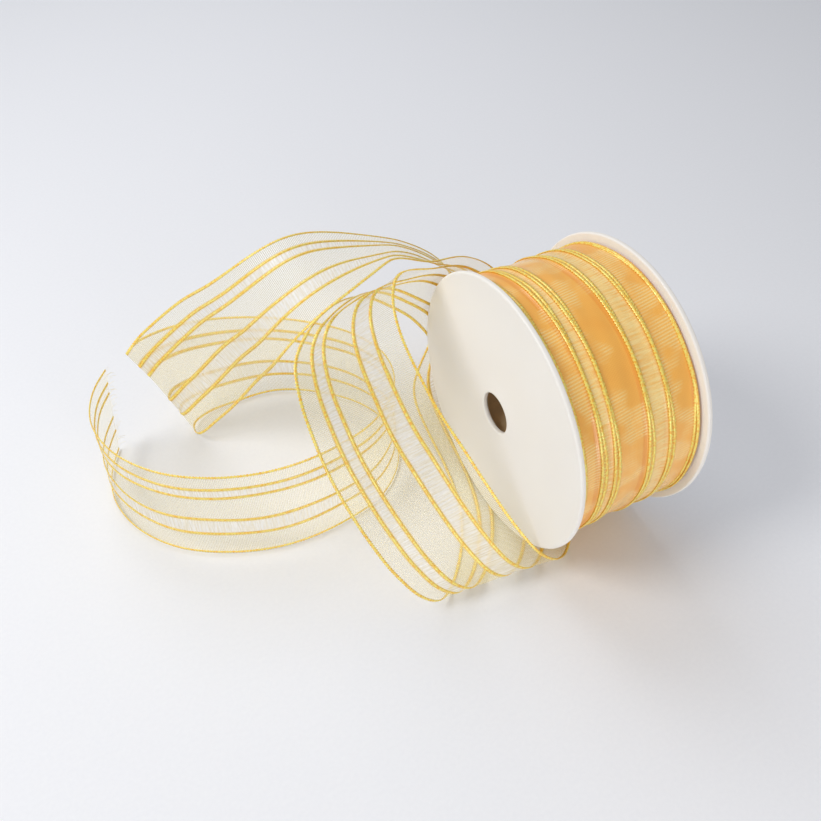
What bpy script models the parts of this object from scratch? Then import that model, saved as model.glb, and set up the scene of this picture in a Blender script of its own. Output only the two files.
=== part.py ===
"""Ribbon spool: two card flanges glued to a card tube, wound with organza ribbon whose free end loops away.

Metres, +Z up. The spool stands on its rims with its axis along X, and the floor is z = 0.
The origin is on the floor, below the middle of the whole object's bounding box.
"""

import math

import bmesh
import bpy
import numpy as np
from mathutils import Vector

RIBBON_WIDTH = 0.038
RIBBON_THICKNESS = 0.0006
FLANGE_RADIUS = 0.042
FLANGE_THICKNESS = 0.00155
FLANGE_EDGE_RADIUS = 0.0004
HOLE_RADIUS = 0.00625
TUBE_RADIUS = 0.013
TUBE_WALL = 0.002
PACK_MARGIN = 0.0023  # how far the flange stands above the wound ribbon
TAPE_LENGTH = 0.018
TAPE_WIDTH = 0.030
TAPE_THICKNESS = 0.0003
SIDE_PLAY = 0.0005  # from the wound ribbon to each flange
GAP = 0.0003  # between neighbouring pieces
STRETCH_GAP = 0.0009  # between two stretches of the loose ribbon, where it may be bending
TURN_STEPS = 72
ROW_SPACING = 0.0045  # between two rows of the loose ribbon

PACK_RADIUS = FLANGE_RADIUS - PACK_MARGIN
INNER_WIDTH = RIBBON_WIDTH + 2 * SIDE_PLAY
FLANGE_INNER_X = INNER_WIDTH / 2
FLANGE_OUTER_X = FLANGE_INNER_X + FLANGE_THICKNESS
TAPE_INNER_RADIUS = TUBE_RADIUS + GAP
PACK_INNER_RADIUS = TAPE_INNER_RADIUS + TAPE_THICKNESS + GAP
# The spool stands on the run of ribbon that passes beneath its left flange.
AXIS_HEIGHT = FLANGE_RADIUS + RIBBON_THICKNESS + 1.5 * GAP

# The sizes of the spool and ribbon that the route below was laid for, which route() fits to others.
ROUTE_PACK_RADIUS = 0.0397
ROUTE_AXIS_HEIGHT = 0.04305
ROUTE_RIBBON_WIDTH = 0.038
ROUTE_SIDE_REACH = 0.030  # this far left of the spool's middle, the loose ribbon is beside the spool

# The loose ribbon's route: its left and right selvage at each station, in millimetres from the floor
# point below the middle of the spool. It starts on the wound ribbon's back.
ROUTE_MM = [
    # up the back of the spool and over the left rim
    ((-19, 34.9, 22.9), (19, 34.9, 22.9)),
    ((-19, 38.5, 29), (19, 38.5, 29)),
    ((-19.3, 42.3, 35.5), (18.6, 42.3, 35.5)),
    ((-24, 43.5, 45), (13, 44.5, 43)),
    ((-34, 42, 57), (2, 45, 53)),
    ((-45, 38, 67.5), (-9, 42, 63)),
    ((-59, 29, 74.5), (-23, 36, 71)),
    # over the crest and down the front loop
    ((-70, 18, 76.5), (-36, 33, 75)),
    ((-75, 12, 75.5), (-40, 26, 72)),
    ((-77, 6, 71), (-41, 19, 67)),
    ((-77, 0, 63), (-40, 8, 58)),
    ((-76, -5, 53), (-38, 1, 51)),
    ((-73, -11, 41), (-35, -8, 43)),
    ((-69, -17, 28.5), (-31, -15, 33)),
    ((-64, -22, 18), (-27, -24, 22.5)),
    ((-58, -26.5, 9), (-21.5, -31.5, 13)),
    ((-53, -27, 3.5), (-15.5, -32, 7)),
    # along the floor and beneath the spool
    ((-46, -22, 0.4), (-9, -29, 1.5)),
    ((-38, -13, 0.4), (-1, -21, 0.4)),
    ((-32, -3, 0.4), (5, -11, 0.4)),
    ((-28, 8, 0.4), (9, 2, 0.4)),
    ((-26, 20, 0.4), (12, 15, 0.4)),
    ((-25, 33, 2.5), (13, 29, 3)),
    # up behind the spool, turning to the left
    ((-22, 49, 8), (13, 47, 19)),
    ((-8, 61, 17), (11, 51.5, 43)),
    ((3, 65, 30), (-2, 50, 57.5)),
    ((-2, 65.5, 45.5), (-19, 43, 67.5)),
    ((-19, 67, 60.5), (-36, 36, 78.5)),
    # the upper sweep, which crosses the crest
    ((-39, 66.5, 70.5), (-48, 28, 80)),
    ((-55, 63, 78), (-57, 25, 79.5)),
    ((-65, 59, 79), (-66, 20.5, 79)),
    ((-74, 60, 74), (-72, 22, 73)),
    ((-82, 68, 63), (-75, 32, 58)),
    ((-89, 79, 53), (-77, 45, 42)),
    ((-98, 84, 43), (-82, 55, 26)),
    ((-105, 85, 38), (-89, 63, 12)),
    # the bend at the left end
    ((-110, 83.5, 34.5), (-96, 69, 2)),
    ((-107, 86, 36), (-96, 74, 1)),
    ((-97, 88, 36.5), (-90, 79, 0.3)),
    # the ring, on its edge on the floor: back, right side, front, left side
    ((-84, 86, 37.3), (-79, 80, 0.2)),
    ((-68, 79, 38), (-64, 79, 0.2)),
    ((-53, 69, 38), (-49, 70, 0.2)),
    ((-41, 56, 38), (-38, 57, 0.2)),
    ((-36, 42, 38), (-34, 43, 0.2)),
    ((-39, 29, 38), (-38, 29, 0.2)),
    ((-50, 18.5, 38), (-49, 18, 0.2)),
    ((-66, 13.5, 38), (-66, 13.5, 0.2)),
    ((-84, 13.5, 38), (-84, 13.5, 0.2)),
    ((-101, 19, 38), (-101, 19, 0.2)),
    ((-115, 29, 38), (-116, 29, 0.2)),
    ((-124, 43, 38), (-125.5, 43, 0.2)),
    ((-126, 57, 38), (-128.5, 57, 0.2)),
    ((-122, 69, 38), (-126, 69, 0.2)),
    ((-117, 76, 37.5), (-122, 77, 0.3)),
]

# Each stretch of the loose ribbon ends where the next starts, at a station of the route.
STRETCHES = [
    ("ribbon_take_off", 0, 6),
    ("ribbon_front_loop", 6, 15),
    ("ribbon_under_run", 15, 22),
    ("ribbon_back_rise", 22, 27),
    ("ribbon_upper_sweep", 27, 35),
    ("ribbon_left_bend", 35, 38),
    ("ribbon_ring_back", 38, 43),
    ("ribbon_ring_front", 43, 49),
    ("ribbon_cut_end", 49, 53),
]


def clear_scene():
    for obj in list(bpy.data.objects):
        bpy.data.objects.remove(obj, do_unlink=True)


def new_collection(name):
    collection = bpy.data.collections.new(name)
    bpy.context.scene.collection.children.link(collection)
    return collection


def new_material(name, colour, roughness, metallic=0.0):
    material = bpy.data.materials.new(name)
    material.use_nodes = True
    shader = material.node_tree.nodes["Principled BSDF"]
    shader.inputs["Base Color"].default_value = (*colour, 1.0)
    shader.inputs["Roughness"].default_value = roughness
    shader.inputs["Metallic"].default_value = metallic
    return material


def add_object(name, mesh, collection, material, parent=None):
    obj = bpy.data.objects.new(name, mesh)
    collection.objects.link(obj)
    mesh.materials.append(material)
    obj.parent = parent
    mesh.shade_smooth()
    mesh.set_sharp_from_angle(angle=math.radians(40))
    return obj


def turned_mesh(name, profile):
    """A closed loop of (x, radius) points, which a Screw modifier turns about X."""
    mesh = bpy.data.meshes.new(name)
    points = [(x, 0.0, radius) for x, radius in profile]
    edges = [((i + 1) % len(points), i) for i in range(len(points))]
    mesh.from_pydata(points, edges, [])
    return mesh


def add_turned(name, profile, collection, material, parent):
    obj = add_object(name, turned_mesh(name, profile), collection, material, parent)
    screw = obj.modifiers.new("Screw", "SCREW")
    screw.axis = "X"
    screw.steps = TURN_STEPS
    screw.render_steps = TURN_STEPS
    screw.use_merge_vertices = True
    screw.merge_threshold = 0.00001
    screw.use_smooth_shade = True
    return obj


def rounded_rectangle(x0, x1, inner, outer, round_inner, round_outer):
    """The section of a turned ring: each corner is an arc of three points."""
    corners = [
        (x0, outer, round_outer, 180, 90),
        (x1, outer, round_outer, 90, 0),
        (x1, inner, round_inner, 0, -90),
        (x0, inner, round_inner, -90, -180),
    ]
    points = []
    for x, radius, fillet, start, end in corners:
        cx = x + fillet if x == x0 else x - fillet
        cr = radius - fillet if radius == outer else radius + fillet
        for step in range(3):
            turn = math.radians(start + (end - start) * step / 2)
            points.append((cx + fillet * math.cos(turn), cr + fillet * math.sin(turn)))
    return points


def add_flange(name, side, collection, material, spool):
    """A card disc with a soft edge and a die-cut spindle hole."""
    ends = sorted((side * FLANGE_INNER_X, side * FLANGE_OUTER_X))
    profile = rounded_rectangle(
        *ends, HOLE_RADIUS, FLANGE_RADIUS, FLANGE_EDGE_RADIUS, FLANGE_EDGE_RADIUS
    )
    return add_turned(name, profile, collection, material, spool)


def ring_profile(half_width, inner, outer):
    return [(-half_width, outer), (half_width, outer), (half_width, inner), (-half_width, inner)]


def add_core_tube(collection, material, spool):
    profile = ring_profile(FLANGE_INNER_X - GAP, TUBE_RADIUS - TUBE_WALL, TUBE_RADIUS)
    return add_turned("core_tube", profile, collection, material, spool)


def add_wound_ribbon(collection, material, spool):
    profile = ring_profile(RIBBON_WIDTH / 2, PACK_INNER_RADIUS, PACK_RADIUS)
    return add_turned("wound_ribbon", profile, collection, material, spool)


def add_start_tape(collection, material, spool):
    """The strip of tape that holds the ribbon's first end on the tube."""
    mesh = bpy.data.meshes.new("start_tape")
    half_turn = TAPE_LENGTH / TAPE_INNER_RADIUS / 2
    columns = 9
    build = bmesh.new()
    rows = []
    for i in range(columns):
        turn = math.pi / 2 - half_turn + 2 * half_turn * i / (columns - 1)
        y = TAPE_INNER_RADIUS * math.cos(turn)
        z = TAPE_INNER_RADIUS * math.sin(turn)
        rows.append([build.verts.new((x, y, z)) for x in (-TAPE_WIDTH / 2, TAPE_WIDTH / 2)])
    for a, b in zip(rows, rows[1:]):
        build.faces.new((a[0], a[1], b[1], b[0]))
    build.to_mesh(mesh)
    build.free()
    obj = add_object("start_tape", mesh, collection, material, spool)
    wall = obj.modifiers.new("Solidify", "SOLIDIFY")
    wall.thickness = TAPE_THICKNESS
    wall.offset = -1.0
    return obj


def smooth_through(stations, lengths, at):
    """A smooth curve through the stations, each at its own length along the ribbon."""
    slopes = np.empty_like(stations)
    steps = np.diff(lengths)[:, None]
    runs = np.diff(stations, axis=0) / steps
    slopes[0] = runs[0]
    slopes[-1] = runs[-1]
    slopes[1:-1] = (runs[1:] * steps[:-1] + runs[:-1] * steps[1:]) / (steps[1:] + steps[:-1])
    i = np.clip(np.searchsorted(lengths, at, side="right") - 1, 0, len(steps) - 1)
    step = steps[i]
    t = ((at - lengths[i]) / (lengths[i + 1] - lengths[i]))[:, None]
    return (
        (2 * t**3 - 3 * t**2 + 1) * stations[i]
        + (t**3 - 2 * t**2 + t) * step * slopes[i]
        + (3 * t**2 - 2 * t**3) * stations[i + 1]
        + (t**3 - t**2) * step * slopes[i + 1]
    )


def route():
    """The route's middle line, its direction across the ribbon and the length at each station.

    It grows with the winding, about the axis. A wider ribbon keeps its lower selvage at the same height,
    and is as much further left beside the spool as it is wider, so that it still clears the flange.
    """
    selvages = np.array(ROUTE_MM) / 1000
    across = selvages[:, 1] - selvages[:, 0]
    across /= np.linalg.norm(across, axis=1)[:, None]
    middle = selvages.mean(axis=1) - (0, 0, ROUTE_AXIS_HEIGHT)
    middle = middle * (PACK_RADIUS / ROUTE_PACK_RADIUS) + (0, 0, AXIS_HEIGHT)
    wider = RIBBON_WIDTH - ROUTE_RIBBON_WIDTH
    middle[:, 2] += wider / 2 * abs(across[:, 2])
    middle[:, 0] -= wider * np.clip(-middle[:, 0] / ROUTE_SIDE_REACH, 0, 1)
    lengths = np.concatenate([[0], np.cumsum(np.linalg.norm(np.diff(middle, axis=0), axis=1))])
    return middle, across, lengths


def add_stretch(name, first, last, collection, material, base):
    """One stretch of the loose ribbon, from station first to station last, less half a gap at each end."""
    middle, across, lengths = route()
    start, end = lengths[first] + STRETCH_GAP / 2, lengths[last] - STRETCH_GAP / 2
    count = max(4, math.ceil((end - start) / ROW_SPACING) + 1)
    at = np.linspace(start, end, count)
    centres = smooth_through(middle, lengths, at)
    sides = smooth_through(across, lengths, at)
    sides /= np.linalg.norm(sides, axis=1)[:, None]
    mesh = bpy.data.meshes.new(name)
    build = bmesh.new()
    rows = []
    for centre, side in zip(centres, sides):
        reach = side * RIBBON_WIDTH / 2
        rows.append([build.verts.new(Vector(centre + share * reach)) for share in (-1, 0, 1)])
    for a, b in zip(rows, rows[1:]):
        for k in range(2):
            build.faces.new((a[k], a[k + 1], b[k + 1], b[k]))
    build.to_mesh(mesh)
    build.free()
    obj = add_object(name, mesh, collection, material, base)
    wall = obj.modifiers.new("Solidify", "SOLIDIFY")
    wall.thickness = RIBBON_THICKNESS
    wall.offset = 0.0
    wall.use_even_offset = True
    return obj


def add_empty(name, location, collection, parent=None):
    empty = bpy.data.objects.new(name, None)
    empty.location = location
    empty.parent = parent
    collection.objects.link(empty)
    return empty


def build_spool(collection, base):
    spool = add_empty("spool_axis", (0, 0, AXIS_HEIGHT), collection, base)
    card = new_material("white_card", (0.88, 0.85, 0.81), 0.42)
    kraft = new_material("kraft_card", (0.48, 0.38, 0.26), 0.85)
    tape = new_material("clear_tape", (0.85, 0.83, 0.75), 0.25)
    gold = new_material("gold_organza", (0.87, 0.47, 0.10), 0.35)
    add_flange("left_flange", -1, collection, card, spool)
    add_flange("right_flange", 1, collection, card, spool)
    add_core_tube(collection, kraft, spool)
    add_start_tape(collection, tape, spool)
    add_wound_ribbon(collection, gold, spool)


def build_loose_ribbon(collection, base):
    organza = new_material("pale_organza", (0.93, 0.80, 0.48), 0.35)
    for name, first, last in STRETCHES:
        add_stretch(name, first, last, collection, organza, base)


def stand_on_origin(collection, base):
    """Moves the whole object so that the middle of its footprint is the origin and it stands on z = 0."""
    bpy.context.view_layer.update()
    graph = bpy.context.evaluated_depsgraph_get()
    corners = []
    for obj in collection.objects:
        if obj.type == "MESH":
            shape = obj.evaluated_get(graph)
            corners += [shape.matrix_world @ vertex.co for vertex in shape.data.vertices]
    corners = np.array(corners)
    low, high = corners.min(axis=0), corners.max(axis=0)
    base.location = (-(low[0] + high[0]) / 2, -(low[1] + high[1]) / 2, -low[2])
    bpy.context.view_layer.update()


clear_scene()
ribbon_spool = new_collection("ribbon_spool")
footprint = add_empty("footprint", (0, 0, 0), ribbon_spool)
build_spool(ribbon_spool, footprint)
build_loose_ribbon(ribbon_spool, footprint)
stand_on_origin(ribbon_spool, footprint)
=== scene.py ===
"""Ribbon spool: white card flanges on a kraft tube, wound with sheer gold-striped ribbon.

Its free end loops out over the left flange, back under the spool and round into a ring on its edge.
"""

import math
import random

import bmesh
import bpy
import numpy as np
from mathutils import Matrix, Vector


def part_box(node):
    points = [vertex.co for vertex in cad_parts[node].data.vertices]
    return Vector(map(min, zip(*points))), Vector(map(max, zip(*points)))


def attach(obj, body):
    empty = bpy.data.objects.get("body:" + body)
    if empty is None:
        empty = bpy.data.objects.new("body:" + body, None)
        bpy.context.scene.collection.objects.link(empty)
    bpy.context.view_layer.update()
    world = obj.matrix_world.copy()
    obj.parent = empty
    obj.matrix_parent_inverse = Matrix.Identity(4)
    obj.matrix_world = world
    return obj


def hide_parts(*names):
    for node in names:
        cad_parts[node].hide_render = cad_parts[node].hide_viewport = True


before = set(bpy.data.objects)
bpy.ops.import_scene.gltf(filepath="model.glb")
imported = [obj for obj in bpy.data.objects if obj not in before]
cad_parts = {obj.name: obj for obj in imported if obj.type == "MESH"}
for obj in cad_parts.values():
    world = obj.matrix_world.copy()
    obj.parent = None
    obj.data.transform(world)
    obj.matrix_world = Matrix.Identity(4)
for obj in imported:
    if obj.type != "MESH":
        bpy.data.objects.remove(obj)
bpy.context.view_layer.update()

# ---------------------------------------------------------------------------------------------------
# The table and the light. The spool stands on a sheet of pale paper, seen from above and to its left,
# under a soft light at the left and a larger one behind, with a little coming back from low in front.
# ---------------------------------------------------------------------------------------------------
AXIS_HEIGHT = 0.04305  # of the spool's middle above the point that the ribbon's route is measured from
tube_low, tube_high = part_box("core_tube")
spool_middle = (tube_low + tube_high) / 2
ROUTE_ORIGIN = spool_middle - Vector((0, 0, AXIS_HEIGHT))

EYE_FROM_ROUTE_ORIGIN = Vector((-0.1169, -0.1340, 0.2191))
EYE_DOWN, EYE_TURN = math.radians(47.03), math.radians(-27.09)


def linear(red, green, blue):
    """A paint-chart colour, each part from 11 to 255, as the linear colour that a shader works in."""
    return tuple(((part / 255 + 0.055) / 1.055) ** 2.4 for part in (red, green, blue)) + (1.0,)


def node(tree, kind, sockets=(), **settings):
    """Adds a node. Each socket, by name or number, takes a value or the output that feeds it."""
    made = tree.nodes.new(kind)
    for setting, value in settings.items():
        setattr(made, setting, value)
    for key, value in dict(sockets).items():
        if isinstance(value, bpy.types.NodeSocket):
            tree.links.new(value, made.inputs[key])
        else:
            made.inputs[key].default_value = value
    return made


def math_of(tree, operation, a, b=0.0, c=0.0):
    """A sum on up to three values or outputs."""
    return node(tree, "ShaderNodeMath", {0: a, 1: b, 2: c}, operation=operation).outputs[0]


def blend(tree, share, first, second):
    """A colour this share of the way from the first to the second."""
    return node(tree, "ShaderNodeMix", {0: share, 6: first, 7: second}, data_type="RGBA").outputs[2]


def between(tree, value, low, high, to_low=0.0, to_high=1.0):
    """The value's place between low and high, stretched over to_low and to_high and kept inside them."""
    sockets = {"Value": value, "From Min": low, "From Max": high, "To Min": to_low, "To Max": to_high}
    return node(tree, "ShaderNodeMapRange", sockets, clamp=True).outputs[0]


def noise(tree, place, scale, **sockets):
    return node(tree, "ShaderNodeTexNoise", {"Vector": place, "Scale": scale, **sockets}).outputs[0]


def bump(tree, height, strength, distance):
    """A normal for a surface with this fine relief, distance metres high."""
    sockets = {"Height": height, "Strength": strength, "Distance": distance}
    return node(tree, "ShaderNodeBump", sockets).outputs[0]


def new_finish(name):
    """An empty material, and its tree and output node."""
    finish = bpy.data.materials.new(name)
    finish.use_nodes = True
    tree = finish.node_tree
    tree.nodes.clear()
    return finish, tree, node(tree, "ShaderNodeOutputMaterial")


def new_effect(name, inputs, outputs):
    """An effect that finishes can share: its tree, its inputs by name, and the node for its outputs."""
    tree = bpy.data.node_groups.new(name, "ShaderNodeTree")
    for label, start in inputs.items():
        kind = "NodeSocketVector" if isinstance(start, tuple) else "NodeSocketFloat"
        tree.interface.new_socket(label, in_out="INPUT", socket_type=kind).default_value = start
    for label, kind in outputs.items():
        tree.interface.new_socket(label, in_out="OUTPUT", socket_type=kind)
    given = node(tree, "NodeGroupInput")
    return tree, {label: given.outputs[label] for label in inputs}, node(tree, "NodeGroupOutput")


def use_effect(tree, effect, **sockets):
    """Places a shared effect, each input given by name, and returns its outputs."""
    placed = tree.nodes.new("ShaderNodeGroup")
    placed.node_tree = effect
    for label, value in sockets.items():
        if isinstance(value, bpy.types.NodeSocket):
            tree.links.new(value, placed.inputs[label])
        else:
            placed.inputs[label].default_value = value
    return placed.outputs


def add_piece(name, mesh, finish=None):
    """Puts a mesh in the scene, at the origin, with its finish if it hasn't one already."""
    piece = bpy.data.objects.new(name, mesh)
    bpy.context.scene.collection.objects.link(piece)
    if finish:
        mesh.materials.append(finish)
    return piece


TABLE_HALF = 3.0
TABLE_CORNERS = ((-1, -1), (1, -1), (1, 1), (-1, 1))
PAPER_FIBRE = 900.0  # fibres to the metre, roughly
table_mesh = bpy.data.meshes.new("table_top")
corners = [(x * TABLE_HALF, y * TABLE_HALF, 0.0) for x, y in TABLE_CORNERS]
table_mesh.from_pydata(corners, [], [(0, 1, 2, 3)])
pale_paper, tree, out = new_finish("pale_paper")
position = node(tree, "ShaderNodeTexCoord").outputs["Object"]
fibre = noise(tree, position, PAPER_FIBRE, Detail=3.0)
sheet_tone = blend(tree, fibre, linear(236, 237, 241), linear(242, 243, 246))
paper = node(
    tree,
    "ShaderNodeBsdfPrincipled",
    {"Base Color": sheet_tone, "Roughness": 0.85, "Normal": bump(tree, fibre, 0.15, 0.0001)},
)
tree.links.new(paper.outputs[0], out.inputs[0])
table_top = add_piece("table_top", table_mesh, pale_paper)

EYE_LENS, EYE_FILM = 36.4, 36.0  # millimetres
camera_data = bpy.data.cameras.new("eye")
camera_data.lens = EYE_LENS
camera_data.sensor_width = EYE_FILM
camera_data.clip_start = 0.01
camera = bpy.data.objects.new("eye", camera_data)
camera.location = ROUTE_ORIGIN + EYE_FROM_ROUTE_ORIGIN
camera.rotation_euler = (math.pi / 2 - EYE_DOWN, 0.0, EYE_TURN)
bpy.context.scene.collection.objects.link(camera)
bpy.context.scene.camera = camera

# name, place from the spool's middle in metres, width in metres, watts, colour
LIGHTS = [
    ("left_softbox", (-0.42, 0.06, 0.42), 0.24, 1.45, (1.0, 0.99, 0.97)),
    ("rear_softbox", (-0.10, 0.55, 0.62), 0.50, 1.9, (0.97, 0.98, 1.0)),
    ("front_return", (-0.04, -0.42, 0.06), 0.22, 0.50, (1.0, 0.98, 0.96)),
]
for name, place, width, watts, colour in LIGHTS:
    light = bpy.data.lights.new(name, "AREA")
    light.shape, light.size, light.energy, light.color = "DISK", width, watts, colour
    lamp = bpy.data.objects.new(name, light)
    lamp.location = spool_middle + Vector(place)
    lamp.rotation_euler = Vector(place).to_track_quat("Z", "Y").to_euler()
    bpy.context.scene.collection.objects.link(lamp)
surround = bpy.data.worlds.new("white_tent")
surround.use_nodes = True
tent = surround.node_tree.nodes["Background"].inputs
tent["Color"].default_value = (0.94, 0.955, 1.0, 1.0)
tent["Strength"].default_value = 0.41
bpy.context.scene.world = surround
bpy.context.scene.view_settings.view_transform = "Standard"

# ---------------------------------------------------------------------------------------------------
# The core tube: kraft paper strip wound in a spiral and glued, cut square at both ends. It shows only
# through the spindle holes.
# ---------------------------------------------------------------------------------------------------
CLOUD_SCALE = 0.06  # of the fibres' scale

# Paper and card: fine fibres, drawn out along x by the stretch, and slow clouds in the pulp.
fibres, given, result = new_effect(
    "paper_fibres",
    {"Position": (0.0, 0.0, 0.0), "Scale": 400.0, "Stretch": 1.0},
    {"Fibres": "NodeSocketFloat", "Clouds": "NodeSocketFloat"},
)
squeezed = node(fibres, "ShaderNodeCombineXYZ", {0: given["Stretch"], 1: 1.0, 2: 1.0}).outputs[0]
stretched = node(
    fibres, "ShaderNodeVectorMath", {0: given["Position"], 1: squeezed}, operation="MULTIPLY"
).outputs[0]
slow = math_of(fibres, "MULTIPLY", given["Scale"], CLOUD_SCALE)
fibres.links.new(noise(fibres, stretched, given["Scale"], Detail=5.0), result.inputs["Fibres"])
fibres.links.new(noise(fibres, given["Position"], slow), result.inputs["Clouds"])

kraft_card, tree, out = new_finish("kraft_card")
position = node(tree, "ShaderNodeTexCoord").outputs["Object"]
grain = use_effect(tree, fibres, Position=position, Scale=700.0, Stretch=0.3)
kraft_tone = blend(tree, grain["Fibres"], linear(208, 178, 134), linear(238, 210, 168))
kraft_tone = blend(tree, grain["Clouds"], kraft_tone, linear(226, 196, 152))
kraft = node(
    tree,
    "ShaderNodeBsdfPrincipled",
    {"Base Color": kraft_tone, "Roughness": 0.85, "Normal": bump(tree, grain["Fibres"], 0.4, 0.0001)},
)
tree.links.new(kraft.outputs[0], out.inputs[0])
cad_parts["core_tube"].data.materials[0] = kraft_card

# ---------------------------------------------------------------------------------------------------
# The start tape: a strip of clear sticky film that holds the ribbon's first end on the tube. It is
# pressed on by hand, and the whole winding hides it.
# ---------------------------------------------------------------------------------------------------
clear_tape, tree, out = new_finish("clear_tape")
position = node(tree, "ShaderNodeTexCoord").outputs["Object"]
grain = use_effect(tree, fibres, Position=position, Scale=260.0, Stretch=0.1)
tape_tone = blend(tree, grain["Clouds"], linear(226, 220, 198), linear(240, 236, 222))
tape_gloss = math_of(tree, "MULTIPLY_ADD", grain["Fibres"], 0.2, 0.12)
tape = node(
    tree, "ShaderNodeBsdfPrincipled", {"Base Color": tape_tone, "Roughness": tape_gloss, "Alpha": 0.55}
)
tree.links.new(tape.outputs[0], out.inputs[0])
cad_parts["start_tape"].data.materials[0] = clear_tape

# ---------------------------------------------------------------------------------------------------
# The two flanges: discs of white-faced card, punched out with the spindle hole and glued to the ends of
# the tube. The punch rounds the outer edge over and leaves a low lip round the hole.
# ---------------------------------------------------------------------------------------------------
FLANGE_RADIUS, HOLE_RADIUS = 0.042, 0.00625
RIM_ROUND = 0.00055
RIM_STEPS = 6
FACE_SINK = 0.00012  # of the outer face below the lip round the hole
FLANGE_STEPS = 224


def turned(name, profile, steps, finish):
    """Turns a closed loop of (x, radius) points, given in world x, about the spool's axis."""
    mesh = bpy.data.meshes.new(name)
    turns = np.linspace(0, 2 * math.pi, steps, endpoint=False)
    points = [
        (x, spool_middle.y + radius * math.cos(turn), spool_middle.z + radius * math.sin(turn))
        for turn in turns
        for x, radius in profile
    ]
    count = len(profile)
    faces = []
    for i in range(steps):
        here, onward = i * count, (i + 1) % steps * count
        for k in range(count):
            after = (k + 1) % count
            faces.append((here + k, here + after, onward + after, onward + k))
    mesh.from_pydata(points, [], faces)
    build = bmesh.new()
    build.from_mesh(mesh)
    bmesh.ops.recalc_face_normals(build, faces=build.faces)
    build.to_mesh(mesh)
    build.free()
    mesh.shade_smooth()
    return add_piece(name, mesh, finish)


white_card, tree, out = new_finish("white_card")
position = node(tree, "ShaderNodeTexCoord").outputs["Object"]
middle = tuple(spool_middle)
offset = node(tree, "ShaderNodeVectorMath", {0: position, 1: middle}, operation="SUBTRACT").outputs[0]
flat = node(tree, "ShaderNodeVectorMath", {0: offset, 1: (0, 1, 1)}, operation="MULTIPLY").outputs[0]
radius = node(tree, "ShaderNodeVectorMath", {0: flat}, operation="LENGTH").outputs["Value"]
grain = use_effect(tree, fibres, Position=position, Scale=520.0, Stretch=1.0)
face_tone = blend(tree, grain["Clouds"], linear(243, 239, 234), linear(248, 246, 242))
# The cut edge of the card, without its white face, is a little warmer.
at_rim = between(tree, radius, FLANGE_RADIUS - 0.00045, FLANGE_RADIUS - 0.00005)
at_hole = between(tree, radius, HOLE_RADIUS + 0.00045, HOLE_RADIUS + 0.00005)
at_cut = math_of(tree, "MULTIPLY", math_of(tree, "MAXIMUM", at_rim, at_hole), 0.30)
cut_tone = blend(tree, grain["Fibres"], linear(226, 216, 200), linear(240, 233, 222))
card_tone = blend(tree, at_cut, face_tone, cut_tone)
card_gloss = math_of(tree, "MULTIPLY_ADD", grain["Clouds"], 0.16, 0.36)
sockets = {"Base Color": card_tone, "Roughness": card_gloss, "Specular IOR Level": 0.42}
sockets["Normal"] = bump(tree, grain["Fibres"], 0.10, 0.00012)
card = node(tree, "ShaderNodeBsdfPrincipled", sockets)
tree.links.new(card.outputs[0], out.inputs[0])

# From the flange's back in to the hole: how far in from the back, and the radius.
BACK_OF_FLANGE = [
    (0.0, 0.030),
    (0.0, 0.018),
    (0.0, 0.0072),
    (0.0002, HOLE_RADIUS + 0.0001),
    (0.0005, HOLE_RADIUS),
]
# Out of the hole, over its lip and along the outer face: how far in from the face, and the radius.
FACE_OF_FLANGE = [
    (0.0004, HOLE_RADIUS),
    (0.0001, HOLE_RADIUS + 0.00012),
    (0.0, HOLE_RADIUS + 0.0004),
    (0.0, HOLE_RADIUS + 0.0009),
    (FACE_SINK, HOLE_RADIUS + 0.0016),
    (FACE_SINK, 0.014),
    (FACE_SINK, 0.026),
    (FACE_SINK, 0.0395),
    (FACE_SINK * 0.5, 0.0408),
]
rim_turns = [math.radians(90 * (i / RIM_STEPS)) for i in range(RIM_STEPS + 1)]
for flange_node, inward in (("left_flange", 1), ("right_flange", -1)):
    low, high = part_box(flange_node)
    outer = (high.z - low.z) / 2
    face, back = (low.x, high.x) if inward > 0 else (high.x, low.x)
    section = []
    # The outer rim, rounded from the face over to the back.
    for centre, way, quarter in (
        (face + inward * RIM_ROUND, -inward, rim_turns),
        (back - inward * RIM_ROUND, inward, rim_turns[::-1]),
    ):
        for turn in quarter:
            x = centre + way * RIM_ROUND * math.cos(turn)
            section.append((x, outer - RIM_ROUND + RIM_ROUND * math.sin(turn)))
    section += [(back - inward * depth, radius) for depth, radius in BACK_OF_FLANGE]
    section += [(face + inward * depth, radius) for depth, radius in FACE_OF_FLANGE]
    flange = turned(flange_node + "_card", section, FLANGE_STEPS, white_card)
    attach(flange, "spool")
    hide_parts(flange_node)

# ---------------------------------------------------------------------------------------------------
# The winding: some twenty metres of 38 mm ribbon, sheer between gold gimp lines, with two satin bands.
# Layer on layer turns the pale cloth amber, and lines of the layers below show beside the top ones.
# ---------------------------------------------------------------------------------------------------
RIBBON_WIDTH = 0.038
GIMP_SHARES = (0.0, 0.17, 0.28, 0.57, 0.745, 1.0)  # across the ribbon from its first selvage
SATIN_BANDS = ((0.17, 0.28), (0.57, 0.745))
GIMP_WIDTH, GIMP_THICKNESS, GIMP_BEAD = 0.00124, 0.0005, 0.00088
GIMP_WAIST = 0.50  # the width between two beads, as a share of the whole

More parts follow.
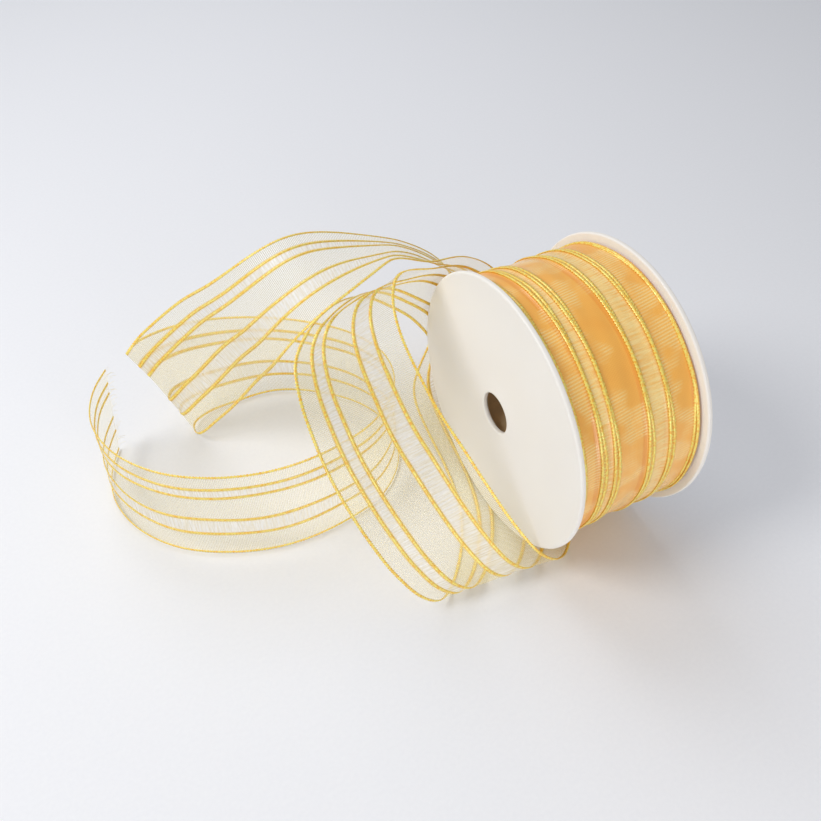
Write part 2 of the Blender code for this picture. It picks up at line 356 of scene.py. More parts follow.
# Which band of the ribbon a place is in, from how far across it is.
bands, given, result = new_effect(
    "ribbon_bands", {"Across": 0.0}, {"Satin": "NodeSocketFloat", "Line": "NodeSocketFloat"}
)
share = math_of(bands, "DIVIDE", given["Across"], RIBBON_WIDTH)
ramp = node(bands, "ShaderNodeValToRGB", {"Fac": share})
half_line = GIMP_WIDTH / RIBBON_WIDTH / 2
marks = [(0.0, 0.0, 1.0)]  # share of the width, satin or not, gimp line or not
for centre in GIMP_SHARES:
    for offset, line in ((-1.5, 0.0), (-0.7, 1.0), (0.7, 1.0), (1.5, 0.0)):
        at = centre + offset * half_line
        satin = any(low < at < high for low, high in SATIN_BANDS)
        if 0.0 < at < 1.0:
            marks.append((at, float(satin), line))
marks.append((1.0, 0.0, 1.0))
stops = ramp.color_ramp.elements
while len(stops) < len(marks):
    stops.new(0.5)
for stop, mark in zip(stops, marks):
    stop.position = mark[0]
for stop, mark in zip(stops, marks):
    stop.color = (mark[1], mark[2], 0.0, 1.0)
parts = node(bands, "ShaderNodeSeparateColor", {0: ramp.outputs["Color"]}).outputs
bands.links.new(parts[0], result.inputs["Satin"])
bands.links.new(parts[1], result.inputs["Line"])

# The cloth's plain weave, the floats that lie across a satin band, and the slow ripple of tension in it.
FLOATS_TO_THE_METRE = (130.0, 1500.0, 1.0)  # across, along
FLOAT_SLANT = 0.10
RIPPLES_TO_THE_METRE = (75.0, 85.0, 1.0)
weave, given, result = new_effect(
    "ribbon_weave",
    {"Across": 0.0, "Along": 0.0, "Warp": 0.00042, "Weft": 0.00050},
    {"Threads": "NodeSocketFloat", "Floats": "NodeSocketFloat", "Ripple": "NodeSocketFloat"},
)
waves = []
for distance, spacing in (("Across", "Warp"), ("Along", "Weft")):
    turns = math_of(weave, "MULTIPLY", given[distance], 2 * math.pi)
    waves.append(math_of(weave, "SINE", math_of(weave, "DIVIDE", turns, given[spacing])))
threads = math_of(weave, "MULTIPLY_ADD", math_of(weave, "ADD", *waves), 0.25, 0.5)
weave.links.new(threads, result.inputs["Threads"])
place = node(weave, "ShaderNodeCombineXYZ", {0: given["Across"], 1: given["Along"]}).outputs[0]
drawn = node(
    weave,
    "ShaderNodeMapping",
    {"Vector": place, "Rotation": (0, 0, FLOAT_SLANT), "Scale": FLOATS_TO_THE_METRE},
).outputs[0]
floats = noise(weave, drawn, 1.0, Detail=2.0, Roughness=0.6)
weave.links.new(between(weave, floats, 0.36, 0.62), result.inputs["Floats"])
drawn = node(weave, "ShaderNodeMapping", {"Vector": place, "Scale": RIPPLES_TO_THE_METRE}).outputs[0]
weave.links.new(noise(weave, drawn, 1.0, Detail=2.0), result.inputs["Ripple"])

# The gold gimp is a fine cord of metallic yarn whipped round a core, so it is a row of bright beads.
gold_gimp, tree, out = new_finish("gold_gimp")
position = node(tree, "ShaderNodeTexCoord").outputs["Object"]
strand = noise(tree, position, 1500.0, Detail=2.0)
drift = noise(tree, position, 90.0, Detail=1.0)
# Painted glints: where the strand noise runs high, the yarn's colour turns pale yellow to stand for
# highlights on the metal, and a little metallic is mixed in there.
painted_glint = between(tree, strand, 0.37, 0.56)
gimp_tone = blend(tree, painted_glint, linear(252, 192, 56), linear(255, 240, 128))
gimp_tone = blend(tree, math_of(tree, "MULTIPLY", drift, 0.3), gimp_tone, linear(248, 190, 60))
sockets = {"Base Color": gimp_tone, "Roughness": 0.30, "Specular IOR Level": 0.8}
sockets["Metallic"] = math_of(tree, "MULTIPLY", painted_glint, 0.12)
sockets["Normal"] = bump(tree, strand, 0.5, 0.0001)
gimp = node(tree, "ShaderNodeBsdfPrincipled", sockets)
tree.links.new(gimp.outputs[0], out.inputs[0])


def new_maker(name, sizes):
    """A tree that makes a piece from a guide mesh and these sizes: the tree, and its inputs by name."""
    tree = bpy.data.node_groups.new(name, "GeometryNodeTree")
    tree.interface.new_socket("Geometry", in_out="INPUT", socket_type="NodeSocketGeometry")
    for label, size in sizes.items():
        socket = tree.interface.new_socket(label, in_out="INPUT", socket_type="NodeSocketFloat")
        socket.default_value = size
    tree.interface.new_socket("Finish", in_out="INPUT", socket_type="NodeSocketMaterial")
    tree.interface.new_socket("Geometry", in_out="OUTPUT", socket_type="NodeSocketGeometry")
    return tree, node(tree, "NodeGroupInput").outputs


# Whips a beaded cord along each guide line, lying flat on the cloth it is woven into.
gimp_sizes = {"Width": GIMP_WIDTH, "Thickness": GIMP_THICKNESS}
gimp_sizes.update({"Bead length": GIMP_BEAD, "Waist": GIMP_WAIST})
gimp_tree, given = new_maker("whipped_gimp", gimp_sizes)
line = node(gimp_tree, "GeometryNodeMeshToCurve", {"Mesh": given["Geometry"]}).outputs[0]
ring_step = math_of(gimp_tree, "DIVIDE", given["Bead length"], 2.0)
line = node(
    gimp_tree, "GeometryNodeResampleCurve", {"Curve": line, "Length": ring_step}, mode="LENGTH"
).outputs[0]
cloth_normal = node(
    gimp_tree, "GeometryNodeInputNamedAttribute", {"Name": "cloth_normal"}, data_type="FLOAT_VECTOR"
).outputs[0]
line = node(
    gimp_tree, "GeometryNodeSetCurveNormal", {"Curve": line, "Normal": cloth_normal}, mode="FREE"
).outputs[0]
ring = node(gimp_tree, "GeometryNodeSplineParameter").outputs["Index"]
waist = math_of(gimp_tree, "MODULO", ring, 2.0)
narrowing = math_of(gimp_tree, "SUBTRACT", 1.0, given["Waist"])
swell = math_of(gimp_tree, "SUBTRACT", 1.0, math_of(gimp_tree, "MULTIPLY", waist, narrowing))
section = node(gimp_tree, "GeometryNodeCurvePrimitiveCircle", {"Resolution": 6, "Radius": 0.5}).outputs[0]
sockets = {0: given["Thickness"], 1: given["Width"], 2: 1.0}
flat_size = node(gimp_tree, "ShaderNodeCombineXYZ", sockets).outputs[0]
section = node(gimp_tree, "GeometryNodeTransform", {"Geometry": section, "Scale": flat_size}).outputs[0]
sockets = {"Curve": line, "Profile Curve": section, "Scale": swell, "Fill Caps": True}
cord = node(gimp_tree, "GeometryNodeCurveToMesh", sockets).outputs[0]
cord = node(gimp_tree, "GeometryNodeRealizeInstances", {"Geometry": cord}).outputs[0]
sockets = {"Geometry": cord, "Material": given["Finish"]}
cord = node(gimp_tree, "GeometryNodeSetMaterial", sockets).outputs[0]
node(gimp_tree, "NodeGroupOutput", {"Geometry": cord})


def made_by_nodes(name, guide_mesh, geometry_tree, **inputs):
    """The plain piece that a node tree makes from a guide mesh."""
    guide = add_piece(name + "_guide", guide_mesh)
    modifier = guide.modifiers.new("nodes", "NODES")
    modifier.node_group = geometry_tree
    for item in geometry_tree.interface.items_tree:
        if item.in_out == "INPUT" and item.name in inputs:
            modifier[item.identifier] = inputs[item.name]
    graph = bpy.context.evaluated_depsgraph_get()
    mesh = bpy.data.meshes.new_from_object(guide.evaluated_get(graph), depsgraph=graph)
    bpy.data.objects.remove(guide)
    mesh.name = name
    mesh.shade_smooth()
    return add_piece(name, mesh)


def gimp_guides(name, lines, normals, closed):
    """One open or closed chain of edges for each gimp line, which knows the cloth's normal."""
    mesh = bpy.data.meshes.new(name)
    count = len(lines[0])
    points = np.concatenate(lines)
    edges = []
    for first in range(0, len(points), count):
        steps = range(count if closed else count - 1)
        edges += [(first + i, first + (i + 1) % count) for i in steps]
    mesh.from_pydata([tuple(point) for point in points], edges, [])
    normal = mesh.attributes.new("cloth_normal", "FLOAT_VECTOR", "POINT")
    normal.data.foreach_set("vector", np.concatenate(normals).astype(np.float32).ravel())
    return mesh


def cloth_mesh(name, points, across, along, closed=False):
    """A grid of cloth, its rows along the ribbon. Its UV map holds the metres across and along."""
    rows, columns = points.shape[:2]
    mesh = bpy.data.meshes.new(name)
    faces, places = [], []
    for i in range(rows if closed else rows - 1):
        for k in range(columns - 1):
            corners = ((i, k), (i, k + 1), (i + 1, k + 1), (i + 1, k))
            faces.append([row % rows * columns + column for row, column in corners])
            places += [(across[column], along[row]) for row, column in corners]
    mesh.from_pydata([tuple(point) for point in points.reshape(-1, 3)], [], faces)
    cloth = mesh.uv_layers.new(name="cloth")
    cloth.data.foreach_set("uv", np.array(places, np.float32).ravel())
    mesh.shade_smooth()
    return mesh


wound_low, wound_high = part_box("wound_ribbon")
WOUND_RADIUS = (wound_high.z - wound_low.z) / 2
WOUND_INNER = 0.0139
WOUND_CLEAR = 0.0001  # between the cloth's selvage and the flange
TURN_ROWS, WIDTH_COLUMNS = 300, 115
GIMP_SINK = 0.00062  # of the cloth between the gimp lines below the winding's full radius
GIMP_RIDGE = 0.00034  # of the cloth's rise at a gimp line
SELVAGE_INSET = 0.00075


def wander(turn):
    """How far the top layer has strayed sideways at this turn of the spool, in metres."""
    return 0.00030 * np.sin(turn + 0.7) + 0.00012 * np.sin(3 * turn + 2.0)


def slip(turn):
    """How far to one side the layer below shows, in metres."""
    return 0.00125 + 0.00075 * np.sin(turn * 2 + 0.4) + 0.00035 * np.sin(5 * turn)


def wound_radius(share, turn):
    """The winding's surface: ridges where gimp lies on gimp, and the cloth sinking between them."""
    place = share * RIBBON_WIDTH
    ridges = np.zeros(np.broadcast(place, turn).shape)
    for centre in GIMP_SHARES:
        top = centre * RIBBON_WIDTH + wander(turn)
        ridges = np.maximum(ridges, np.exp(-(((place - top) / 0.0011) ** 2)))
        ridges = np.maximum(ridges, 0.6 * np.exp(-(((place - top - slip(turn)) / 0.0008) ** 2)))
    slack = 0.00006 * np.sin(7 * turn + 40 * share) + 0.00005 * np.sin(13 * turn - 25 * share)
    return WOUND_RADIUS - GIMP_SINK + GIMP_RIDGE * ridges + slack


def around(x, radius, turn):
    """Points at this radius from the spool's axis."""
    y = spool_middle.y + radius * np.cos(turn)
    z = spool_middle.z + radius * np.sin(turn)
    return np.stack(np.broadcast_arrays(x, y, z), -1)


turns = np.linspace(0, 2 * math.pi, TURN_ROWS, endpoint=False)[:, None]
shares = np.linspace(0, 1, WIDTH_COLUMNS)[None, :]
wound_x = wound_low.x + WOUND_CLEAR + shares * (wound_high.x - wound_low.x - 2 * WOUND_CLEAR)
skin = around(wound_x, wound_radius(shares, turns), turns)
core_left = around(wound_x[:, :1], np.full_like(turns, WOUND_INNER), turns)
core_right = around(wound_x[:, -1:], np.full_like(turns, WOUND_INNER), turns)
points = np.concatenate([core_left, skin, core_right, core_left], axis=1)
# The winding's two ends and its bore are never seen, so they only need to lie beyond the bands.
across = np.concatenate([[-0.020], shares[0] * RIBBON_WIDTH, [0.058, 0.096]])
along = np.linspace(0, 2 * math.pi * WOUND_RADIUS, TURN_ROWS + 1)
wound_mesh = cloth_mesh("wound_cloth", points, across, along, closed=True)
build = bmesh.new()
build.from_mesh(wound_mesh)
bmesh.ops.remove_doubles(build, verts=build.verts, dist=1e-7)
bmesh.ops.recalc_face_normals(build, faces=build.faces)
build.to_mesh(wound_mesh)
build.free()
wound_mesh.set_sharp_from_angle(angle=math.radians(50))
offsets = [vertex.co - spool_middle for vertex in wound_mesh.vertices]
turn_of = np.array([math.atan2(offset.z, offset.y) for offset in offsets])
for name, strays in (("slip", slip), ("wander", wander)):
    attribute = wound_mesh.attributes.new(name, "FLOAT", "POINT")
    attribute.data.foreach_set("value", strays(turn_of).astype(np.float32))

gold_organza, tree, out = new_finish("gold_organza")
cloth_place = node(tree, "ShaderNodeUVMap", uv_map="cloth").outputs[0]
place = node(tree, "ShaderNodeSeparateXYZ", {0: cloth_place}).outputs
slipped = node(tree, "ShaderNodeAttribute", attribute_name="slip").outputs["Fac"]
wanders = node(tree, "ShaderNodeAttribute", attribute_name="wander").outputs["Fac"]
top_place = math_of(tree, "SUBTRACT", place[0], wanders)
third_place = math_of(tree, "MULTIPLY_ADD", slipped, 0.7, math_of(tree, "ADD", top_place, 0.0004))
top = use_effect(tree, bands, Across=top_place)
second = use_effect(tree, bands, Across=math_of(tree, "SUBTRACT", top_place, slipped))
third = use_effect(tree, bands, Across=third_place)
cloth = use_effect(tree, weave, Across=place[0], Along=place[1])
amber = blend(tree, cloth["Ripple"], linear(244, 158, 44), linear(255, 198, 94))
# The top layer's threads, then the third and second layers that show through it, each with its strength.
for mask, strength, tone in (
    (cloth["Threads"], 0.35, linear(254, 200, 96)),
    (third["Satin"], 0.20, linear(254, 206, 118)),
    (third["Line"], 0.55, linear(232, 142, 28)),
    (second["Satin"], 0.25, linear(254, 212, 124)),
    (second["Line"], 0.75, linear(246, 180, 48)),
):
    amber = blend(tree, math_of(tree, "MULTIPLY", mask, strength), amber, tone)
# The top layer's satin bands are paler cloth, and where their floats run high the colour is paler still:
# partly the satin's own colour, partly painted glint streaks.
satin_pale_and_painted_glint = math_of(tree, "MULTIPLY_ADD", cloth["Floats"], 0.58, 0.08)
satin_share = math_of(tree, "MULTIPLY", top["Satin"], satin_pale_and_painted_glint)
amber = blend(tree, satin_share, amber, linear(255, 234, 164))
# Where the tight layers' weaves beat together, fine ribs show in patches.
RIBS_ALONG, RIBS_ACROSS = 7200.0, 900.0  # radians to the metre
patch = between(tree, cloth["Ripple"], 0.47, 0.57)
slant = math_of(tree, "MULTIPLY", place[0], RIBS_ACROSS)
rib = math_of(tree, "SINE", math_of(tree, "MULTIPLY_ADD", place[1], RIBS_ALONG, slant))
rib = math_of(tree, "MULTIPLY_ADD", rib, 0.5, 0.5)
ribs = math_of(tree, "MULTIPLY", math_of(tree, "MULTIPLY", patch, rib), 0.6)
amber = blend(tree, ribs, amber, linear(255, 230, 160))
amber = blend(tree, math_of(tree, "MULTIPLY", top["Line"], 0.8), amber, linear(240, 166, 40))
sheen_patch = between(tree, cloth["Ripple"], 0.35, 0.65, 0.40, 0.22)
wound_gloss = math_of(tree, "SUBTRACT", sheen_patch, math_of(tree, "MULTIPLY", top["Satin"], 0.05))
satin_relief = math_of(tree, "MULTIPLY", math_of(tree, "MULTIPLY", top["Satin"], cloth["Floats"]), 0.8)
relief = math_of(tree, "ADD", math_of(tree, "MULTIPLY", cloth["Threads"], 0.35), satin_relief)
sockets = {"Base Color": amber, "Roughness": wound_gloss, "Specular IOR Level": 0.8}
sockets |= {"Coat Weight": 0.2, "Coat Roughness": 0.25, "Normal": bump(tree, relief, 0.45, 0.00012)}
wound = node(tree, "ShaderNodeBsdfPrincipled", sockets)
tree.links.new(wound.outputs[0], out.inputs[0])

wound_cloth = add_piece("wound_cloth", wound_mesh, gold_organza)
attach(wound_cloth, "spool")
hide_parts("wound_ribbon")

# Each gimp line of the top layer, and beside it the same line of the layer below, pressed deeper.
GIMP_PROUD, LOWER_LAYER = 0.00012, 0.00010
WOUND_GIMP_WIDTH = 0.0014
gimp_turns = np.linspace(0, 2 * math.pi, 360, endpoint=False)
lines, normals = [], []
for centre in GIMP_SHARES:
    for below in (False, True):
        aside = -slip(gimp_turns) if centre == 1.0 else slip(gimp_turns)
        inset = centre * RIBBON_WIDTH + wander(gimp_turns) + below * aside
        inset = np.clip(inset, SELVAGE_INSET, RIBBON_WIDTH - SELVAGE_INSET)
        radii = wound_radius(inset / RIBBON_WIDTH, gimp_turns) + GIMP_PROUD - below * LOWER_LAYER
        lines.append(around(wound_low.x + inset, radii, gimp_turns))
        normals.append(np.stack([0 * gimp_turns, np.cos(gimp_turns), np.sin(gimp_turns)], -1))
guides = gimp_guides("wound_gimp", lines, normals, closed=True)
wound_gimp = made_by_nodes("wound_gimp", guides, gimp_tree, Finish=gold_gimp, Width=WOUND_GIMP_WIDTH)
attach(wound_gimp, "spool")

# ---------------------------------------------------------------------------------------------------
# The loose end: the same ribbon, one piece from the back of the winding to its cut end. It goes up and
# over the left flange, loops down in front, passes under the spool, comes up behind it and sweeps out
# to the left, and ends in a ring that stands on its edge. One layer of the cloth is pale and sheer.
# ---------------------------------------------------------------------------------------------------
# Its left and right selvage at each station, in millimetres from the route's origin.
ROUTE_MM = [
    # up the back of the spool and over the left rim
    ((-19, 34.9, 22.9), (19, 34.9, 22.9)),
    ((-19, 38.5, 29), (19, 38.5, 29)),
    ((-19.3, 42.3, 35.5), (18.6, 42.3, 35.5)),
    ((-24, 43.5, 45), (13, 44.5, 43)),
    ((-34, 42, 57), (2, 45, 53)),
    ((-45, 38, 67.5), (-9, 42, 63)),
    ((-59, 29, 74.5), (-23, 36, 71)),
    # over the crest and down the front loop
    ((-70, 18, 76.5), (-36, 33, 75)),
    ((-75, 12, 75.5), (-40, 26, 72)),
    ((-77, 6, 71), (-41, 19, 67)),
    ((-77, 0, 63), (-40, 8, 58)),
    ((-76, -5, 53), (-38, 1, 51)),
    ((-73, -11, 41), (-35, -8, 43)),
    ((-69, -17, 28.5), (-31, -15, 33)),
    ((-64, -22, 18), (-27, -24, 22.5)),
    ((-58, -26.5, 9), (-21.5, -31.5, 13)),
    ((-53, -27, 3.5), (-15.5, -32, 7)),
    # along the floor and beneath the spool
    ((-46, -22, 0.4), (-9, -29, 1.5)),
    ((-38, -13, 0.4), (-1, -21, 0.4)),
    ((-32, -3, 0.4), (5, -11, 0.4)),
    ((-28, 8, 0.4), (9, 2, 0.4)),
    ((-26, 20, 0.4), (12, 15, 0.4)),
    ((-25, 33, 2.5), (13, 29, 3)),
    # up behind the spool, turning to the left
    ((-22, 49, 8), (13, 47, 19)),
    ((-8, 61, 17), (11, 51.5, 43)),
    ((3, 65, 30), (-2, 50, 57.5)),
    ((-2, 65.5, 45.5), (-19, 43, 67.5)),
    ((-19, 67, 60.5), (-36, 36, 78.5)),
    # the upper sweep, which crosses the crest
    ((-39, 66.5, 70.5), (-48, 28, 80)),
    ((-55, 63, 78), (-57, 25, 79.5)),
    ((-65, 59, 79), (-66, 20.5, 79)),
    ((-74, 60, 74), (-72, 22, 73)),
    ((-82, 68, 63), (-75, 32, 58)),
    ((-89, 79, 53), (-77, 45, 42)),
    ((-98, 84, 43), (-82, 55, 26)),
    ((-105, 85, 38), (-89, 63, 12)),
    # the bend at the left end
    ((-110, 83.5, 34.5), (-96, 69, 2)),
    ((-107, 86, 36), (-96, 74, 1)),
    ((-97, 88, 36.5), (-90, 79, 0.3)),
    # the ring, on its edge on the floor: back, right side, front, left side
    ((-84, 86, 37.3), (-79, 80, 0.2)),
    ((-68, 79, 38), (-64, 79, 0.2)),
    ((-53, 69, 38), (-49, 70, 0.2)),
    ((-41, 56, 38), (-38, 57, 0.2)),
    ((-36, 42, 38), (-34, 43, 0.2)),
    ((-39, 29, 38), (-38, 29, 0.2)),
    ((-50, 18.5, 38), (-49, 18, 0.2)),
    ((-66, 13.5, 38), (-66, 13.5, 0.2)),
    ((-84, 13.5, 38), (-84, 13.5, 0.2)),
    ((-101, 19, 38), (-101, 19, 0.2)),
    ((-115, 29, 38), (-116, 29, 0.2)),
    ((-124, 43, 38), (-125.5, 43, 0.2)),
    ((-126, 57, 38), (-128.5, 57, 0.2)),
    ((-122, 69, 38), (-126, 69, 0.2)),
    ((-117, 76, 37.5), (-122, 77, 0.3)),
]
SWEEP_FIRST, SWEEP_LAST = 27, 35  # the stations between which the ribbon hangs free over the crest
SWEEP_FADE = 0.012
ROW_SPACING = 0.0010
CLOTH_COLUMNS = 41
SELVAGE_SHARE, EDGE_GIMP_SHARE = 0.008, 0.017  # how far in the cloth ends and the outer gimp runs
LEAD_IN = math.radians(24)  # of the winding that the loose end still lies on before it lifts
LEAD_IN_CLEAR = 0.0005  # above the winding, so that the gimp lines can pass beneath
CROWN = 0.0005  # of the ribbon across its width


def smooth_through(stations, lengths, at):
    """A smooth curve through the stations, each at its own length along the ribbon."""
    steps = np.diff(lengths)[:, None]
    runs = np.diff(stations, axis=0) / steps
    inner = (runs[1:] * steps[:-1] + runs[:-1] * steps[1:]) / (steps[1:] + steps[:-1])
    slopes = np.concatenate([runs[:1], inner, runs[-1:]])
    i = np.clip(np.searchsorted(lengths, at, side="right") - 1, 0, len(steps) - 1)
    step = steps[i]
    t = ((at - lengths[i]) / (lengths[i + 1] - lengths[i]))[:, None]
    return (
        (2 * t**3 - 3 * t**2 + 1) * stations[i]
        + (t**3 - 2 * t**2 + t) * step * slopes[i]
        + (3 * t**2 - 2 * t**3) * stations[i + 1]
        + (t**3 - t**2) * step * slopes[i + 1]
    )


selvages = np.array(ROUTE_MM) / 1000
middle = selvages.mean(axis=1)
facing = selvages[:, 1] - selvages[:, 0]
facing /= np.linalg.norm(facing, axis=1)[:, None]
lengths = np.concatenate([[0], np.cumsum(np.linalg.norm(np.diff(middle, axis=0), axis=1))])
at = np.linspace(0, lengths[-1], round(lengths[-1] / ROW_SPACING) + 1)
centres = smooth_through(middle, lengths, at) + np.array(ROUTE_ORIGIN)
sides = smooth_through(facing, lengths, at)


def eased(values, reach):
    """The values along the ribbon, with bumps shorter than reach rows drawn out as springy cloth does."""
    span = 3 * reach
    bell = np.exp(-0.5 * (np.arange(-span, span + 1) / reach) ** 2)
    before = 2 * values[0] - values[span:0:-1]
    after = 2 * values[-1] - values[-2 : -span - 2 : -1]
    padded = np.concatenate([before, values, after])
    return np.stack([np.convolve(padded[:, k], bell / bell.sum(), "valid") for k in range(3)], axis=1)


# The long sweep over the crest hangs free and springs into one smooth curve.
from_ends = np.minimum(at - lengths[SWEEP_FIRST], lengths[SWEEP_LAST] - at)
in_sweep = np.clip(from_ends / SWEEP_FADE, 0, 1)[:, None]
centres = (1 - in_sweep) * eased(centres, 2) + in_sweep * eased(centres, 8)
sides = (1 - in_sweep) * eased(sides, 3) + in_sweep * eased(sides, 8)
sides /= np.linalg.norm(sides, axis=1)[:, None]

# The lead-in: back round the winding from where the loose end lifts off it.
start_turn = math.atan2(centres[0][2] - spool_middle.z, centres[0][1] - spool_middle.y)
start_radius = math.hypot(centres[0][2] - spool_middle.z, centres[0][1] - spool_middle.y)
lead_share = np.linspace(1, 0, round(LEAD_IN * start_radius / ROW_SPACING), endpoint=False)
lead_radius = start_radius - (start_radius - WOUND_RADIUS - LEAD_IN_CLEAR) * lead_share**0.5
lead_in = around(np.full_like(lead_share, centres[0][0]), lead_radius, start_turn - LEAD_IN * lead_share)
centres = np.concatenate([lead_in, centres])
sides = np.concatenate([np.repeat(sides[:1], len(lead_in), axis=0), sides])
run = np.concatenate([[0], np.cumsum(np.linalg.norm(np.diff(centres, axis=0), axis=1))])
LOOSE_LENGTH = float(run[-1])
forward = np.gradient(centres, run, axis=0)
outward = np.cross(sides, forward)
outward /= np.linalg.norm(outward, axis=1)[:, None]


def loose_place(share):
    """The loose ribbon's points at this share of its width, with the slight slack of real cloth."""
    place = (share - 0.5) * RIBBON_WIDTH
    slack = 0.00016 * np.sin(run / 0.0052 + 9 * share) + 0.00022 * np.sin(run / 0.0137 - 6 * share)
    arch = math.sin(math.pi * share)
    ease = np.clip(np.minimum(run / 0.02, (LOOSE_LENGTH - run) / 0.02), 0, 1)
    return centres + place * sides + ((slack * arch + CROWN * arch) * ease)[:, None] * outward


cloth_shares = np.linspace(SELVAGE_SHARE, 1 - SELVAGE_SHARE, CLOTH_COLUMNS)
loose_points = np.stack([loose_place(share) for share in cloth_shares], axis=1)
loose_mesh = cloth_mesh("loose_cloth", loose_points, cloth_shares * RIBBON_WIDTH, run)

pale_organza, tree, out = new_finish("pale_organza")
cloth_place = node(tree, "ShaderNodeUVMap", uv_map="cloth").outputs[0]
place = node(tree, "ShaderNodeSeparateXYZ", {0: cloth_place}).outputs
band = use_effect(tree, bands, Across=place[0])
cloth = use_effect(tree, weave, Across=place[0], Along=place[1])
sheer_tone = blend(tree, cloth["Ripple"], linear(255, 238, 172), linear(255, 249, 210))
# The satin bands run from pale beige to white over their floats: the floats' own texture, with painted
# glints on them and painted shade between them.
satin_floats_and_painted_glint = blend(tree, cloth["Floats"], linear(252, 243, 216), linear(255, 255, 253))
loose_tone = blend(tree, band["Satin"], sheer_tone, satin_floats_and_painted_glint)
loose_tone = blend(tree, band["Line"], loose_tone, linear(248, 210, 100))
sheer_cover = math_of(tree, "MULTIPLY_ADD", cloth["Threads"], 0.22, 0.17)
satin_cover = math_of(tree, "MULTIPLY_ADD", cloth["Floats"], 0.16, 0.60)
cover = node(tree, "ShaderNodeMix", {0: band["Satin"], 2: sheer_cover, 3: satin_cover}).outputs[0]
cover = node(tree, "ShaderNodeMix", {0: band["Line"], 2: cover, 3: 0.9}).outputs[0]
satin_relief = math_of(tree, "MULTIPLY", band["Satin"], cloth["Floats"])
relief = math_of(tree, "ADD", math_of(tree, "MULTIPLY", cloth["Threads"], 0.4), satin_relief)
loose_gloss = node(tree, "ShaderNodeMix", {0: band["Satin"], 2: 0.32, 3: 0.24}).outputs[0]
sockets = {"Base Color": loose_tone, "Roughness": loose_gloss, "Specular IOR Level": 0.9}
sockets["Normal"] = bump(tree, relief, 0.35, 0.00015)
organza = node(tree, "ShaderNodeBsdfPrincipled", sockets)
# The light that passes through the threads, and between them.
through = node(tree, "ShaderNodeBsdfTranslucent", {"Color": loose_tone})
body = node(tree, "ShaderNodeMixShader", {0: 0.45, 1: organza.outputs[0], 2: through.outputs[0]})
clear = node(tree, "ShaderNodeBsdfTransparent")
seen = node(tree, "ShaderNodeMixShader", {0: cover, 1: clear.outputs[0], 2: body.outputs[0]})
tree.links.new(seen.outputs[0], out.inputs[0])

loose_cloth = add_piece("loose_cloth", loose_mesh, pale_organza)
lines = [loose_place(min(max(share, EDGE_GIMP_SHARE), 1 - EDGE_GIMP_SHARE)) for share in GIMP_SHARES]
guides = gimp_guides("loose_gimp", lines, [outward] * len(lines), closed=False)
loose_gimp = made_by_nodes("loose_gimp", guides, gimp_tree, Finish=gold_gimp)

# The cut end frays: the ends of the lengthways threads stick out past it, a few of them long and curled.
FRAY_POINTS = 46
FRAY_BEND = 0.35  # sideways at its tip, as a share of a thread's length
fray_sizes = {"Thread width": 0.00014, "Shortest": 0.0010, "Longest": 0.0036}
fray_tree, given = new_maker("frayed_threads", fray_sizes)
sockets = {"Start": (0, 0, 0), "End": (0, 0, 1)}
thread = node(fray_tree, "GeometryNodeCurvePrimitiveLine", sockets).outputs[0]
thread = node(fray_tree, "GeometryNodeResampleCurve", {"Curve": thread, "Count": 7}).outputs[0]
reach = node(fray_tree, "GeometryNodeSplineParameter").outputs["Factor"]
droop = math_of(fray_tree, "MULTIPLY", math_of(fray_tree, "POWER", reach, 2.0), FRAY_BEND)
bent = node(fray_tree, "ShaderNodeCombineXYZ", {0: droop}).outputs[0]
thread = node(fray_tree, "GeometryNodeSetPosition", {"Geometry": thread, "Offset": bent}).outputs[0]
ends = node(
    fray_tree, "GeometryNodeInputNamedAttribute", {"Name": "ending"}, data_type="FLOAT_VECTOR"
).outputs[0]
turned_out = node(fray_tree, "FunctionNodeAlignRotationToVector", {"Vector": ends}, axis="Z").outputs[0]
sockets = {2: given["Shortest"], 3: given["Longest"], "Seed": 11}
long_as = node(fray_tree, "FunctionNodeRandomValue", sockets, data_type="FLOAT").outputs[1]
thickness = math_of(fray_tree, "DIVIDE", given["Thread width"], 0.008)  # before a thread takes its length
sockets = {"Resolution": 4, "Radius": thickness}
thin = node(fray_tree, "GeometryNodeCurvePrimitiveCircle", sockets).outputs[0]
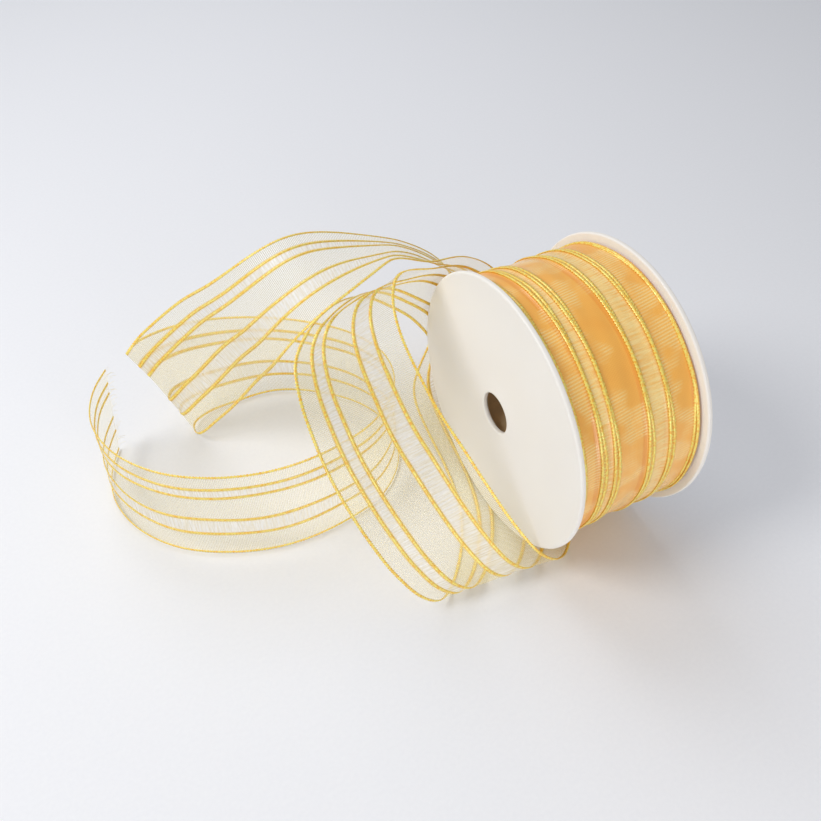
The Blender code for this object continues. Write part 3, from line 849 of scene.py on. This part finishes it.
sockets = {"Curve": thread, "Profile Curve": thin, "Fill Caps": True}
thread = node(fray_tree, "GeometryNodeCurveToMesh", sockets).outputs[0]
sockets = {"Points": given["Geometry"], "Instance": thread, "Rotation": turned_out, "Scale": long_as}
threads = node(fray_tree, "GeometryNodeInstanceOnPoints", sockets).outputs[0]
threads = node(fray_tree, "GeometryNodeRealizeInstances", {"Geometry": threads}).outputs[0]
sockets = {"Geometry": threads, "Material": given["Finish"]}
threads = node(fray_tree, "GeometryNodeSetMaterial", sockets).outputs[0]
node(fray_tree, "NodeGroupOutput", {"Geometry": threads})

loose_thread, tree, out = new_finish("loose_thread")
position = node(tree, "ShaderNodeTexCoord").outputs["Object"]
tint = noise(tree, position, 600.0)
thread_tone = blend(tree, tint, linear(246, 234, 200), linear(255, 252, 242))
yarn = node(tree, "ShaderNodeBsdfPrincipled", {"Base Color": thread_tone, "Roughness": 0.4})
tree.links.new(yarn.outputs[0], out.inputs[0])

random.seed(38)
fray_mesh = bpy.data.meshes.new("frayed_threads")
fray_places, fray_ends = [], []
for i in range(FRAY_POINTS):
    share = 0.02 + 0.96 * (i + random.uniform(0.1, 0.9)) / FRAY_POINTS
    fray_places.append(tuple(loose_place(share)[-1]))
    way = forward[-1] + random.gauss(0, 0.35) * outward[-1] + random.gauss(0, 0.28) * sides[-1]
    fray_ends.append(way / np.linalg.norm(way))
fray_mesh.from_pydata(fray_places, [], [])
ending = fray_mesh.attributes.new("ending", "FLOAT_VECTOR", "POINT")
ending.data.foreach_set("vector", np.array(fray_ends, np.float32).ravel())
frayed_threads = made_by_nodes("frayed_threads", fray_mesh, fray_tree, Finish=loose_thread)

for piece in (loose_cloth, loose_gimp, frayed_threads):
    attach(piece, "loose_ribbon")
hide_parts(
    "ribbon_take_off",
    "ribbon_front_loop",
    "ribbon_under_run",
    "ribbon_back_rise",
    "ribbon_upper_sweep",
    "ribbon_left_bend",
    "ribbon_ring_back",
    "ribbon_ring_front",
    "ribbon_cut_end",
)
